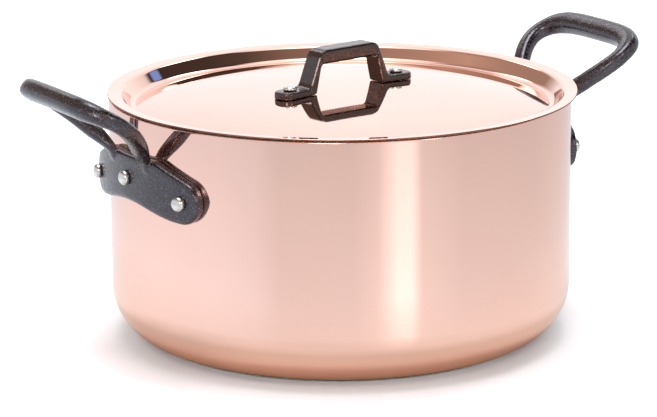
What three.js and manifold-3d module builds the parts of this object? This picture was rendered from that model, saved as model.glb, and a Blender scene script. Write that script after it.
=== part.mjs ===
// A two-handled copper stewpot with a lid. The pot and the lid are copper sheet lined with steel, the loop
// handles and the lid's bridge handle are iron castings, and domed rivets hold the castings on.
// Millimetres, +Z up, origin at the centre of the pot's base. X runs through the two loop handles.
import * as THREE from 'three';
import { mergeVertices } from 'three/addons/utils/BufferGeometryUtils.js';
import Module from 'manifold-3d';

const wasm = await Module();
wasm.setup();

// Pot
const POT_RADIUS = 122; // outside of the wall
const POT_HEIGHT = 129.4; // base to rim
const CORNER_RADIUS = 28; // outside of the rounded bottom edge
const COPPER_WALL = 1.75;
const STEEL_WALL = 0.2;
const BOND_LINE = 0.05; // between copper and steel

// Lid, along the top face of its copper sheet
const LID_COPPER = 0.95;
const LID_STEEL = 0.2;
const LID_SEAT_GAP = 0.4; // lid's underside above the rim's inner edge
const LIP_ROOT_INSET = 3.2; // lip's root, inside the pot's inner face
const LIP_OVERHANG = 2; // lip beyond the pot's outside
const LIP_SLOPE = 5; // degrees, rising outward
const CHANNEL_DEPTH = 8.1; // lip's root down to the foot of the channel
const CHANNEL_RUN = 5.6; // how far the channel's wall leans inward over that depth
const CROWN_RISE = 8.8; // foot of the channel up to the middle of the crown
const CROWN_FLAT = 79; // the crown starts to fall away towards a point at this radius
const CHANNEL_FILLET = 4;
const SHOULDER_FILLET = 3;
const LID_TURN = 8.5; // degrees, as the loose lid was set down
const LID_SHIFT = 1.6; // along X, within its play in the pot's mouth

// Loop handles: places are measured out from the pot's wall and up from its rim
const FLANGE_THICKNESS = 5.5;
const FLANGE_END_RADIUS = 11.3; // rounded ends, about the outer rivets
const FLANGE_TOP_DROP = 17.9; // upper edge between the legs, below the rim
const FLANGE_ARCH = 5; // rise of the lower edge in the middle
const FLANGE_SHOULDER_SLOPE = 18; // degrees, upper edge from the rounded ends to the legs
const FLANGE_CHAMFER = 1.3;
const OUTER_RIVET_ARC = 43.6; // along the flange's face, from its middle
const OUTER_RIVET_DROP = 36; // below the rim
const MIDDLE_RIVET_DROP = 30;
const LOOP_REACH = 45.4; // middle of the grip, out from the wall
const LOOP_RISE = 15.8; // middle of the grip, above the rim
const LOOP_HALF_WIDTH = 39.6; // bar centres at the widest place
const LEG_HALF_SPACING = 17.7; // bar centres at the legs' roots
const LEG_ROOT_DROP = 17.4; // legs' roots, below the rim
const LEG_ROOT_OUT = 5.4;
const LEG_TAIL = 6; // how far each leg runs on down into the flange
const TAIL_LEAN = 1.2; // how far it closes in on the way
const LEG_WIDTH = 8.6;
const GRIP_WIDTH = 12;
const LEG_THICKNESS = 8.5;
const GRIP_THICKNESS = 10.4;
const TAIL_THICKNESS = 4.4;

// Bridge handle on the lid: heights are measured up from the crown at its feet
const FOOT_RIVET_SPACING = 73;
const FOOT_WIDTH = 13;
const FOOT_END = 8.4; // end beyond the rivet
const FOOT_CORNER = 6; // rounded corners of that end
const FOOT_THICKNESS = 3.5;
const BRIDGE_HEIGHT = 23;
const BRIDGE_BAR = 7.5; // height of the top bar
const LEG_BASE = 6.2; // thickness of the legs at the feet
const LEG_TOP = 3.6; // and under the top bar
const BRIDGE_WIDTH = 11.6;
const BRIDGE_TOP_HALF = 19.5; // outside of the legs at the top bar
const BRIDGE_BASE_HALF = 27.2; // outside of the legs at the feet
const BRIDGE_OUTER_FILLET = 6.5;
const BRIDGE_INNER_FILLET = 2.5;
const BRIDGE_OFFSET = 1; // along its length, off the lid's middle
const LEG_FLARE = 4; // fillet from the outside of each leg to its foot
const BRIDGE_BEVEL = 0.8;
const FOOT_BEVEL = 1;

// Rivets
const HANDLE_RIVET = {
  shank: 5.4,
  head: 7.8,
  rim: 1.3,
  dome: 2.5,
  innerHead: 11,
  innerRim: 0.5,
  innerDome: 1,
};
const LID_RIVET = {
  shank: 4.4,
  head: 7.2,
  rim: 0.9,
  dome: 1.5,
  innerHead: 8,
  innerRim: 0.4,
  innerDome: 0.7,
};
const HOLE_CLEARANCE = 0.25; // round each shank
const HEAD_GAP = 0.15; // under each head
const SEAT_GAP = 0.3; // castings off the sheet they sit on

// Fineness of the facets
const POT_SEGMENTS = 60;
const RIVET_SEGMENTS = 12;
const CORNER_STEPS = 4;
const FILLET_STEPS = 2;
const CROWN_STEPS = 4;
const BAR_SIDES = 12;
const LOOP_STEPS = 36;

const RAD = Math.PI / 180;
const LINING_GAP = COPPER_WALL + BOND_LINE;
const POT_INSIDE = POT_RADIUS - LINING_GAP - STEEL_WALL;
const LID_LINING_GAP = LID_COPPER + BOND_LINE;
const LID_SHEET = LID_LINING_GAP + LID_STEEL;
const FLANGE_BACK = POT_RADIUS + SEAT_GAP;
const FLANGE_FACE = FLANGE_BACK + FLANGE_THICKNESS;
const OUTER_RIVET_ANGLE = OUTER_RIVET_ARC / FLANGE_FACE;

const copper = new THREE.MeshStandardMaterial({ color: 0xf0b8a4, metalness: 1, roughness: 0.1 });
const steel = new THREE.MeshStandardMaterial({ color: 0xc9cacb, metalness: 1, roughness: 0.35 });
const castIron = new THREE.MeshStandardMaterial({ color: 0x34333a, metalness: 0.6, roughness: 0.5 });
const rivetSteel = new THREE.MeshStandardMaterial({ color: 0xd2d0cc, metalness: 1, roughness: 0.25 });

// A closed mesh with shared vertices, no flat triangles and its faces pointing out.
function closed(geometry) {
  const bare = geometry.clone();
  for (const name of Object.keys(bare.attributes)) {
    if (name !== 'position') bare.deleteAttribute(name);
  }
  const merged = mergeVertices(bare, 1e-4);
  const place = merged.attributes.position;
  const index = merged.index.array;
  const kept = [];
  let volume = 0;
  const [a, b, c] = [new THREE.Vector3(), new THREE.Vector3(), new THREE.Vector3()];
  for (let i = 0; i < index.length; i += 3) {
    const [p, q, r] = [index[i], index[i + 1], index[i + 2]];
    if (p === q || q === r || r === p) continue;
    kept.push(p, q, r);
    a.fromBufferAttribute(place, p);
    b.fromBufferAttribute(place, q);
    c.fromBufferAttribute(place, r);
    volume += a.dot(b.cross(c));
  }
  if (volume < 0) kept.reverse();
  merged.setIndex(kept);
  return merged;
}

function solid(geometry) {
  const mesh = closed(geometry);
  const vertProperties = new Float32Array(mesh.attributes.position.array);
  const triVerts = new Uint32Array(mesh.index.array);
  return new wasm.Manifold(new wasm.Mesh({ numProp: 3, vertProperties, triVerts }));
}

function geometryOf(body) {
  const mesh = body.getMesh();
  const geometry = new THREE.BufferGeometry();
  geometry.setAttribute('position', new THREE.BufferAttribute(new Float32Array(mesh.vertProperties), 3));
  geometry.setIndex(Array.from(mesh.triVerts));
  return geometry;
}

function cut(geometry, cutters) {
  let body = solid(geometry);
  for (const cutter of cutters) body = body.subtract(solid(cutter));
  return geometryOf(body);
}

function join(geometries) {
  let body = solid(geometries[0]);
  for (const geometry of geometries.slice(1)) body = body.add(solid(geometry));
  return geometryOf(body);
}

function part(name, geometry, material) {
  const shape = closed(geometry);
  shape.computeVertexNormals();
  const mesh = new THREE.Mesh(shape, material);
  mesh.name = name;
  return mesh;
}

// Revolves a profile of [radius, height] points about Z.
function turned(profile, segments) {
  const points = profile.map(([radius, height]) => new THREE.Vector2(radius, height));
  return new THREE.LatheGeometry(points, segments).rotateX(Math.PI / 2);
}

// Replaces a corner of a profile by a tangent arc.
function rounded(before, corner, after, radius, steps) {
  const tip = new THREE.Vector2(...corner);
  const back = new THREE.Vector2(...before).sub(tip).normalize();
  const on = new THREE.Vector2(...after).sub(tip).normalize();
  const half = Math.acos(THREE.MathUtils.clamp(back.dot(on), -1, 1)) / 2;
  const centre = back.clone().add(on).normalize().multiplyScalar(radius / Math.sin(half)).add(tip);
  const start = tip.clone().addScaledVector(back, radius / Math.tan(half)).sub(centre);
  const end = tip.clone().addScaledVector(on, radius / Math.tan(half)).sub(centre);
  const sweep = Math.atan2(start.cross(end), start.dot(end));
  const arc = [];
  for (let i = 0; i <= steps; i++) {
    const point = start.clone().rotateAround(new THREE.Vector2(), (sweep * i) / steps).add(centre);
    arc.push([point.x, point.y]);
  }
  return arc;
}

// A profile moved sideways by a distance, to its right as it runs. Its first point stays on the axis.
function offset(profile, distance) {
  const normal = (from, to) => {
    const along = new THREE.Vector2(to[0] - from[0], to[1] - from[1]).normalize();
    return new THREE.Vector2(along.y, -along.x);
  };
  return profile.map((point, i) => {
    if (i === 0) return [point[0], point[1] - distance];
    const before = normal(profile[i - 1], point);
    const after = i < profile.length - 1 ? normal(point, profile[i + 1]) : before;
    const mitre = before.clone().add(after).normalize();
    mitre.multiplyScalar(distance / mitre.dot(after));
    return [point[0] + mitre.x, point[1] + mitre.y];
  });
}

// Joins rings of points, each with as many points, into a closed body with flat ends.
function loft(rings) {
  const count = rings[0].length;
  const points = rings.flat();
  const index = [];
  for (let i = 0; i < rings.length - 1; i++) {
    for (let j = 0; j < count; j++) {
      const a = i * count + j;
      const b = i * count + ((j + 1) % count);
      index.push(a, b, b + count, a, b + count, a + count);
    }
  }
  const last = (rings.length - 1) * count;
  for (let j = 1; j < count - 1; j++) {
    index.push(0, j + 1, j, last, last + j, last + j + 1);
  }
  const geometry = new THREE.BufferGeometry().setFromPoints(points);
  geometry.setIndex(index);
  return geometry;
}

// The pot's sheet, from the middle of its floor out and up to the rim, a distance in from its outside.
function potProfile(depth) {
  const wall = POT_RADIUS - depth;
  const bend = rounded([0, depth], [wall, depth], [wall, POT_HEIGHT], CORNER_RADIUS - depth, CORNER_STEPS);
  return [[0, depth], ...bend, [wall, POT_HEIGHT]];
}

function shell(outside, inside) {
  return turned([...outside, ...inside.slice().reverse()], POT_SEGMENTS);
}

// Top face of the lid, from the middle of the crown out to the lip.
const lip = POT_RADIUS + LIP_OVERHANG;
const lipSlope = Math.tan(LIP_SLOPE * RAD);
const seatTop = POT_HEIGHT + LID_SEAT_GAP + LID_SHEET / Math.cos(LIP_SLOPE * RAD);
const lipRoot = [POT_INSIDE - LIP_ROOT_INSET, seatTop - LIP_ROOT_INSET * lipSlope];
const channelFoot = [lipRoot[0] - CHANNEL_RUN, lipRoot[1] - CHANNEL_DEPTH];
const crownTop = channelFoot[1] + CROWN_RISE;
const crownCurve = new THREE.QuadraticBezierCurve(
  new THREE.Vector2(0, crownTop),
  new THREE.Vector2(CROWN_FLAT, crownTop),
  new THREE.Vector2(...channelFoot),
);
const crown = crownCurve.getPoints(CROWN_STEPS).map((point) => [point.x, point.y]);

// Height of a profile that runs outward, at a radius.
function heightAt(profile, radius) {
  const next = profile.findIndex(([out]) => out > radius);
  const [from, to] = [profile[next - 1], profile[next]];
  return THREE.MathUtils.mapLinear(radius, from[0], to[0], from[1], to[1]);
}

function lidTop() {
  const fall = crown.slice(0, -1);
  const lipEnd = [lip, lipRoot[1] + (lip - lipRoot[0]) * lipSlope];
  const bottom = rounded(fall[fall.length - 1], channelFoot, lipRoot, CHANNEL_FILLET, FILLET_STEPS);
  const shoulder = rounded(channelFoot, lipRoot, lipEnd, SHOULDER_FILLET, FILLET_STEPS);
  return [...fall, ...bottom, ...shoulder, lipEnd];
}

// A rivet along Z, with its outer head above a grip that runs from low to high.
function rivetGeometry(sizes, low, high) {
  const { shank, head, rim, dome, innerHead, innerRim, innerDome } = sizes;
  const capped = (radius, base, edge, rise) => [
    [radius, base],
    [radius, base + edge],
    [radius * 0.8, base + edge + rise * 0.62],
    [radius * 0.45, base + edge + rise * 0.92],
    [0, base + edge + rise],
  ];
  const top = capped(head / 2, high, rim, dome);
  const under = capped(innerHead / 2, low, -innerRim, -innerDome).reverse();
  return turned([...under, [shank / 2, low], [shank / 2, high], ...top], RIVET_SEGMENTS);
}

function holeGeometry(sizes, length) {
  const radius = sizes.shank / 2 + HOLE_CLEARANCE;
  return new THREE.CylinderGeometry(radius, radius, length, RIVET_SEGMENTS).rotateX(Math.PI / 2);
}

// Lays a shape that runs along Z out along X, then turns it to an angle about the pot at a height.
function radial(geometry, out, angle, height) {
  return geometry.rotateY(Math.PI / 2).translate(out, 0, height).rotateZ(angle);
}

const handleRivets = [
  { place: 'back', angle: OUTER_RIVET_ANGLE, height: POT_HEIGHT - OUTER_RIVET_DROP },
  { place: 'middle', angle: 0, height: POT_HEIGHT - MIDDLE_RIVET_DROP },
  { place: 'front', angle: -OUTER_RIVET_ANGLE, height: POT_HEIGHT - OUTER_RIVET_DROP },
];

// Holes through flange, copper and lining for one handle, in that handle's own frame.
function handleHoles() {
  const through = FLANGE_FACE + 2 * FLANGE_THICKNESS - POT_INSIDE;
  const middle = (FLANGE_FACE + POT_INSIDE) / 2;
  return handleRivets.map(({ angle, height }) => {
    const hole = holeGeometry(HANDLE_RIVET, through);
    return radial(hole, middle, angle, height);
  });
}

// One loop handle, reaching out along +X.
function loopHandle() {
  const rivetHeight = POT_HEIGHT - OUTER_RIVET_DROP;
  const upper = POT_HEIGHT - FLANGE_TOP_DROP;
  const slope = FLANGE_SHOULDER_SLOPE * RAD;
  const tangent = OUTER_RIVET_ARC + FLANGE_END_RADIUS * Math.sin(slope);
  const lowerEdge = (arc) => {
    const past = Math.max(0, arc - OUTER_RIVET_ARC);
    const share = Math.min(1, arc / OUTER_RIVET_ARC);
    const arch = FLANGE_ARCH * Math.cos((Math.PI / 2) * share) ** 2;
    return rivetHeight + arch - Math.sqrt(FLANGE_END_RADIUS ** 2 - past ** 2);
  };
  const upperEdge = (arc) => {
    const past = Math.max(tangent, arc) - OUTER_RIVET_ARC;
    const rise = Math.max(0, tangent - arc) * Math.tan(slope);
    return Math.min(upper, rivetHeight + Math.sqrt(FLANGE_END_RADIUS ** 2 - past ** 2) + rise);
  };
  const arcs = [];
  const innerColumns = 8;
  for (let i = 0; i < innerColumns; i++) arcs.push((OUTER_RIVET_ARC * i) / innerColumns);
  for (const turn of [0, 18, 36, 52, 66, 78]) {
    arcs.push(OUTER_RIVET_ARC + FLANGE_END_RADIUS * Math.sin(turn * RAD));
  }
  const columns = [...arcs.slice(1).reverse().map((arc) => -arc), ...arcs];
  const flange = loft(columns.map((arc) => {
    const low = lowerEdge(Math.abs(arc));
    const high = upperEdge(Math.abs(arc));
    const chamfer = Math.min(FLANGE_CHAMFER, (high - low) / 4);
    const section = [
      [FLANGE_BACK, low],
      [FLANGE_FACE - chamfer, low],
      [FLANGE_FACE, low + chamfer],
      [FLANGE_FACE, high - chamfer],
      [FLANGE_FACE - chamfer, high],
      [FLANGE_BACK, high],
    ];
    const angle = arc / FLANGE_FACE;
    return section.map(([out, z]) => new THREE.Vector3(out * Math.cos(angle), out * Math.sin(angle), z));
  }));

  // Stations of half the loop, as shares of the way from the leg's root to the grip and to the widest place.
  const stations = [
    { out: 0, wide: 0, up: 0 },
    { out: 0.267, wide: 0.606, up: 0.395 },
    { out: 0.479, wide: 0.92, up: 0.627 },
    { out: 0.65, wide: 1, up: 0.77 },
    { out: 0.845, wide: 0.85, up: 0.9 },
    { out: 0.96, wide: 0.5, up: 0.97 },
  ];
  const half = stations.map(({ out, wide, up }) => new THREE.Vector3(
    POT_RADIUS + LEG_ROOT_OUT + (LOOP_REACH - LEG_ROOT_OUT) * out,
    LEG_HALF_SPACING + (LOOP_HALF_WIDTH - LEG_HALF_SPACING) * wide,
    POT_HEIGHT - LEG_ROOT_DROP + (LOOP_RISE + LEG_ROOT_DROP) * up,
  ));
  const tailOut = FLANGE_BACK + FLANGE_THICKNESS / 2;
  const tailHeight = POT_HEIGHT - LEG_ROOT_DROP - LEG_TAIL;
  half.unshift(new THREE.Vector3(tailOut, LEG_HALF_SPACING - TAIL_LEAN, tailHeight));
  const mirrored = half.slice().reverse().map((point) => new THREE.Vector3(point.x, -point.y, point.z));
  const grip = new THREE.Vector3(POT_RADIUS + LOOP_REACH, 0, POT_HEIGHT + LOOP_RISE);
  const centreLine = new THREE.CatmullRomCurve3([...half, grip, ...mirrored]);
  const tilt = Math.atan2(LOOP_RISE + LEG_ROOT_DROP, LOOP_REACH - LEG_ROOT_OUT);
  const planeNormal = new THREE.Vector3(-Math.sin(tilt), 0, Math.cos(tilt));
  const rings = [];
  for (let i = 0; i <= LOOP_STEPS; i++) {
    const share = i / LOOP_STEPS;
    const along = centreLine.getTangentAt(share);
    const normal = planeNormal.clone().addScaledVector(along, -planeNormal.dot(along)).normalize();
    const across = new THREE.Vector3().crossVectors(along, normal);
    const fromEnd = Math.min(share, 1 - share);
    const intoGrip = THREE.MathUtils.smoothstep(fromEnd, 0.25, 0.36);
    const outOfTail = THREE.MathUtils.smoothstep(fromEnd, 0, 0.11);
    const width = THREE.MathUtils.lerp(LEG_WIDTH, GRIP_WIDTH, intoGrip) / 2;
    const bar = THREE.MathUtils.lerp(LEG_THICKNESS, GRIP_THICKNESS, intoGrip);
    const thickness = THREE.MathUtils.lerp(TAIL_THICKNESS, bar, outOfTail) / 2;
    const middle = centreLine.getPointAt(share);
    const ring = [];
    for (let j = 0; j < BAR_SIDES; j++) {
      const turn = (2 * Math.PI * (j + 0.5)) / BAR_SIDES;
      const squared = (value) => Math.sign(value) * Math.abs(value) ** 0.75;
      ring.push(middle.clone()
        .addScaledVector(across, width * squared(Math.cos(turn)))
        .addScaledVector(normal, thickness * squared(Math.sin(turn))));
    }
    rings.push(ring);
  }
  const casting = join([flange, loft(rings)]);
  const seat = new THREE.CylinderGeometry(FLANGE_BACK, FLANGE_BACK, 2 * POT_HEIGHT, 2 * POT_SEGMENTS);
  return cut(casting, [seat.rotateX(Math.PI / 2), ...handleHoles()]);
}

// The bridge handle, along X on the lid, fitted to the crown.
function bridgeHandle() {
  const seat = heightAt(crown, FOOT_RIVET_SPACING / 2) + SEAT_GAP;
  const sunk = seat - FOOT_THICKNESS;
  const top = seat + BRIDGE_HEIGHT;
  const footTop = seat + FOOT_THICKNESS;
  const lean = (BRIDGE_BASE_HALF - BRIDGE_TOP_HALF) / (top - footTop);
  const halfAt = (height) => BRIDGE_TOP_HALF + (top - height) * lean;
  const ceiling = top - BRIDGE_BAR;
  const innerBase = [halfAt(sunk) - LEG_BASE, sunk];
  const outerBase = [halfAt(footTop), footTop];
  const outerTop = [BRIDGE_TOP_HALF, top];
  const flare = rounded(outerTop, outerBase, [FOOT_RIVET_SPACING / 2, footTop], LEG_FLARE, 3);
  const right = [
    ...rounded([0, top], outerTop, outerBase, BRIDGE_OUTER_FILLET, 4),
    ...flare,
    [flare.at(-1)[0], sunk],
    innerBase,
    ...rounded(innerBase, [halfAt(ceiling) - LEG_TOP, ceiling], [0, ceiling], BRIDGE_INNER_FILLET, 3),
  ];
  const left = right.slice().reverse().map(([x, y]) => [-x, y]);
  const bridgeShape = new THREE.Shape([...right, ...left].map(([x, y]) => new THREE.Vector2(x, y)));
  const bridge = new THREE.ExtrudeGeometry(bridgeShape, {
    depth: BRIDGE_WIDTH - 2 * BRIDGE_BEVEL,
    bevelThickness: BRIDGE_BEVEL,
    bevelSize: BRIDGE_BEVEL,
    bevelOffset: -BRIDGE_BEVEL,
    bevelSegments: 1,
  }).translate(0, 0, BRIDGE_BEVEL - BRIDGE_WIDTH / 2).rotateX(Math.PI / 2);

  const inner = BRIDGE_BASE_HALF - LEG_BASE / 2;
  const rivet = FOOT_RIVET_SPACING / 2;
  const corner = rivet + FOOT_END - FOOT_CORNER;
  const plan = new THREE.Path();
  plan.moveTo(inner, -BRIDGE_WIDTH / 2);
  plan.lineTo(rivet, -FOOT_WIDTH / 2);
  plan.absarc(corner, FOOT_CORNER - FOOT_WIDTH / 2, FOOT_CORNER, -Math.PI / 2, 0);
  plan.absarc(corner, FOOT_WIDTH / 2 - FOOT_CORNER, FOOT_CORNER, 0, Math.PI / 2);
  plan.lineTo(rivet, FOOT_WIDTH / 2);
  plan.lineTo(inner, BRIDGE_WIDTH / 2);
  const foot = (side) => {
    const outline = new THREE.Shape(plan.getPoints(4).map(({ x, y }) => new THREE.Vector2(side * x, y)));
    return new THREE.ExtrudeGeometry(outline, {
      depth: footTop - sunk - 2 * FOOT_BEVEL,
      bevelThickness: FOOT_BEVEL,
      bevelSize: FOOT_BEVEL,
      bevelOffset: -FOOT_BEVEL,
      bevelSegments: 2,
    }).translate(0, 0, sunk + FOOT_BEVEL);
  };
  const casting = join([bridge, foot(-1), foot(1)]).translate(BRIDGE_OFFSET, 0, 0);
  const crownSeat = crown.map(([out, height]) => [out, height + SEAT_GAP]);
  const below = [[channelFoot[0], 0], [0, 0]];
  return cut(casting, [turned([...crownSeat, ...below], POT_SEGMENTS), ...lidHoles()]);
}

// Holes through the feet, the lid's copper and its lining.
function lidHoles() {
  const length = 4 * (FOOT_THICKNESS + LID_SHEET);
  return [-1, 1].map((side) => {
    const x = BRIDGE_OFFSET + (side * FOOT_RIVET_SPACING) / 2;
    return holeGeometry(LID_RIVET, length).translate(x, 0, heightAt(crown, Math.abs(x)));
  });
}

const pot = new THREE.Group();
const bothHandles = [0, Math.PI];
const wallHoles = bothHandles.flatMap((turn) => handleHoles().map((hole) => hole.rotateZ(turn)));
const copperSheet = shell(potProfile(0), potProfile(COPPER_WALL));
const steelSheet = shell(potProfile(LINING_GAP), potProfile(LINING_GAP + STEEL_WALL));
pot.add(part('copper_body', cut(copperSheet, wallHoles), copper));
pot.add(part('steel_lining', cut(steelSheet, wallHoles), steel));

const casting = loopHandle();
const headSag = (HANDLE_RIVET.innerHead / 2) * Math.tan(Math.PI / POT_SEGMENTS); // flat head, round wall
const gripLow = POT_INSIDE - headSag - HEAD_GAP;
const gripHigh = FLANGE_FACE + HEAD_GAP;
for (const [index, side] of ['right', 'left'].entries()) {
  const handle = new THREE.Group();
  handle.rotation.z = bothHandles[index];
  handle.add(part(`${side}_handle`, casting, castIron));
  for (const { place, angle, height } of handleRivets) {
    const rivet = radial(rivetGeometry(HANDLE_RIVET, gripLow, gripHigh), 0, angle, height);
    const towards = index === 0 ? place : { front: 'back', middle: 'middle', back: 'front' }[place];
    handle.add(part(`${side}_rivet_${towards}`, rivet, rivetSteel));
  }
  pot.add(handle);
}

const lid = new THREE.Group();
lid.rotation.z = LID_TURN * RAD;
lid.position.x = LID_SHIFT;
const face = lidTop();
const lidCopper = shell(face, offset(face, LID_COPPER));
const lidSteel = shell(offset(face, LID_LINING_GAP), offset(face, LID_SHEET));
lid.add(part('lid_copper', cut(lidCopper, lidHoles()), copper));
lid.add(part('lid_lining', cut(lidSteel, lidHoles()), steel));
lid.add(part('lid_handle', bridgeHandle(), castIron));
const footTop = heightAt(crown, FOOT_RIVET_SPACING / 2) + SEAT_GAP + FOOT_THICKNESS;
const headEdge = (FOOT_RIVET_SPACING + LID_RIVET.innerHead) / 2;
const lidUnder = heightAt(offset(face, LID_SHEET), headEdge) - HEAD_GAP;
for (const [side, name] of [[-1, 'left'], [1, 'right']]) {
  const rivet = rivetGeometry(LID_RIVET, lidUnder, footTop + HEAD_GAP);
  const x = BRIDGE_OFFSET + (side * FOOT_RIVET_SPACING) / 2;
  lid.add(part(`lid_rivet_${name}`, rivet.translate(x, 0, 0), rivetSteel));
}

const stewpot = new THREE.Group();
stewpot.add(pot, lid);
export default stewpot;
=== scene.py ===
import math
from collections import namedtuple

import bmesh
import bpy
from mathutils import Matrix, Vector


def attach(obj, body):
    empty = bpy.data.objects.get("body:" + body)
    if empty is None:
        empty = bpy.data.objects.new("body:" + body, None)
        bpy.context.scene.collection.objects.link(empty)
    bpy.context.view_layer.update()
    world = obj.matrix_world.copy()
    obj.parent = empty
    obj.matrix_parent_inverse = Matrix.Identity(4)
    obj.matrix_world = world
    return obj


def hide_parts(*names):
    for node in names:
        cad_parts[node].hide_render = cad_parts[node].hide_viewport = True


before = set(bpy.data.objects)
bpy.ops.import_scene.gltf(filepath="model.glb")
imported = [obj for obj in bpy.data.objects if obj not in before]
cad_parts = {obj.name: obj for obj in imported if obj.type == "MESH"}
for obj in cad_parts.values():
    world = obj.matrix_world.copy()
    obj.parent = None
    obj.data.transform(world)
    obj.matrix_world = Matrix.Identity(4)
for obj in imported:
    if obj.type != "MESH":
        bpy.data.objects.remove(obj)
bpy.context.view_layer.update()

MM = 0.001

# Camera in metres, its roll in radians, its width of view in degrees and its sensor in millimetres
CAMERA_PLACE = Vector((-0.8642, -1.4135, 0.4822))
CAMERA_TARGET = Vector((-0.0054, 0.0033, 0.0656))
CAMERA_ROLL = -0.0065
CAMERA_WIDTH_ANGLE = 11.7
CAMERA_REACH = 50.0
SENSOR_WIDTH = 36.0

# Pot and lid sheets, millimetres, as the solids have them
POT_RADIUS = 122.0
POT_HEIGHT = 129.4
CORNER_RADIUS = 28.0
COPPER_WALL = 1.75
STEEL_WALL = 0.2
BOND_LINE = 0.05
POT_INSIDE = POT_RADIUS - COPPER_WALL - BOND_LINE - STEEL_WALL
LID_COPPER = 0.95
LID_STEEL = 0.2
LID_SHEET = LID_COPPER + BOND_LINE + LID_STEEL
LID_SEAT_GAP = 0.4
LIP_ROOT_INSET = 3.2
LIP_OVERHANG = 2.0
LIP_SLOPE = math.tan(math.radians(5))
CHANNEL_DEPTH = 8.1
CHANNEL_RUN = 5.6
CROWN_RISE = 8.8
CROWN_FLAT = 79.0
CHANNEL_FILLET = 4.0
SHOULDER_FILLET = 3.0
LID_TURN = math.radians(8.5)
LID_SHIFT = 1.6

# Edges of the sheets. The lid's lining ends short of the lip. Where the lip's faces look up by less than the
# facing given below, the lip is dark brown copper: partly its duller cut edge, partly painted shade of the gap
# under the lip.
RIM_EDGE = 0.4
LINING_EDGE = 0.08
LIP_ROUNDING = 0.35
LINING_SET_BACK = 2.4
CUT_AND_SHADE_FACING = 0.4

# Fineness of the sheets
SEGMENTS = 256
ON_AXIS = 1e-6
SUPPORT_MARGIN = 0.4
WIDE_FILLET = 5.0
WIDE_FILLET_STEPS = 20
EDGE_STEPS = 4
CROWN_STEPS = 40
CROWN_CLEARANCE = 0.5
CHANNEL_STEPS = 14
SHOULDER_STEPS = 10
LIP_STEPS = 3

# Loop handles
SEAT_GAP = 0.3
FLANGE_BACK = POT_RADIUS + SEAT_GAP
FLANGE_THICKNESS = 5.5
FLANGE_FACE = FLANGE_BACK + FLANGE_THICKNESS
FLANGE_END_RADIUS = 11.3
FLANGE_TOP_DROP = 17.9
FLANGE_ARCH = 5.0
FLANGE_SHOULDER_SLOPE = math.radians(18)
FLANGE_EDGE = 2.4
FLANGE_STEPS = 24
FLANGE_END_DEGREES = range(0, 87, 5)
OUTER_RIVET_ARC = 43.6
OUTER_RIVET_DROP = 36.0
MIDDLE_RIVET_DROP = 30.0
LOOP_REACH = 45.4
LOOP_RISE = 15.8
LOOP_HALF_WIDTH = 39.6
LEG_HALF_SPACING = 17.7
LEG_ROOT_DROP = 17.4
LEG_ROOT_OUT = 5.4
LEG_TAIL = 6.0
TAIL_LEAN = 1.2
LEG_WIDTH = 8.6
GRIP_WIDTH = 12.0
LEG_THICKNESS = 8.5
GRIP_THICKNESS = 10.4
TAIL_THICKNESS = 4.4
BAR_SIDES = 32
BAR_SQUARENESS = 0.75
LOOP_STEPS = 150
SPLINE_STEPS = 60
# Half the loop, as shares of the way from the leg's root to the grip, to the widest place, and up.
LOOP_STATIONS = (
    (0, 0, 0),
    (0.267, 0.606, 0.395),
    (0.479, 0.92, 0.627),
    (0.65, 1, 0.77),
    (0.845, 0.85, 0.9),
    (0.96, 0.5, 0.97),
)
# Shares of the bar's length over which a tail grows into a leg, and a leg into the grip
TAIL_BLEND = (0, 0.11)
GRIP_BLEND = (0.25, 0.36)

# Bridge handle
FOOT_RIVET_SPACING = 73.0
FOOT_WIDTH = 13.0
FOOT_END = 8.4
FOOT_CORNER = 6.0
FOOT_CORNER_STEPS = 8
FOOT_THICKNESS = 3.5
FOOT_EDGE = 1.2
# Rings round a foot's upper edge, by their drop and inset as shares of FOOT_EDGE
FOOT_EDGE_RINGS = ((1, 0), (0.3, 0.3), (0, 1))
BRIDGE_HEIGHT = 23.0
BRIDGE_BAR = 7.5
LEG_BASE = 6.2
LEG_TOP = 3.6
BRIDGE_WIDTH = 11.6
BRIDGE_TOP_HALF = 19.5
BRIDGE_BASE_HALF = 27.2
BRIDGE_OUTER_FILLET = 6.5
BRIDGE_OUTER_STEPS = 8
BRIDGE_INNER_FILLET = 2.5
BRIDGE_INNER_STEPS = 5
BRIDGE_OFFSET = 1.0
LEG_FLARE = 4.0
LEG_FLARE_STEPS = 6
BRIDGE_BEVEL = 1.0
# Keeps the inset of a sharp corner from running away
MITRE_LIMIT = 0.3

# Castings: size of a voxel in metres and number of smoothing passes
LOOP_VOXEL = 0.00045
LOOP_SMOOTH = 6
BRIDGE_VOXEL = 0.0003
BRIDGE_SMOOTH = 5
SMOOTH_FACTOR = 0.5

# Rivets, by their diameters and by the heights of each head's rim and dome
Rivet = namedtuple("Rivet", "shank head rim dome inner_head inner_rim inner_dome")
HANDLE_RIVET = Rivet(5.4, 7.8, 1.3, 2.5, 11.0, 0.5, 1.0)
LID_RIVET = Rivet(4.4, 7.2, 0.9, 1.5, 8.0, 0.4, 0.7)
RIVET_EDGE = 0.3
RIVET_SEGMENTS = 40
DOME_STEPS = 8
DOME_FULLNESS = 0.8
HEAD_GAP = 0.15
# Facets round the solids' wall. A flat head inside the pot stands clear of them.
WALL_FACETS = 60

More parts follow.
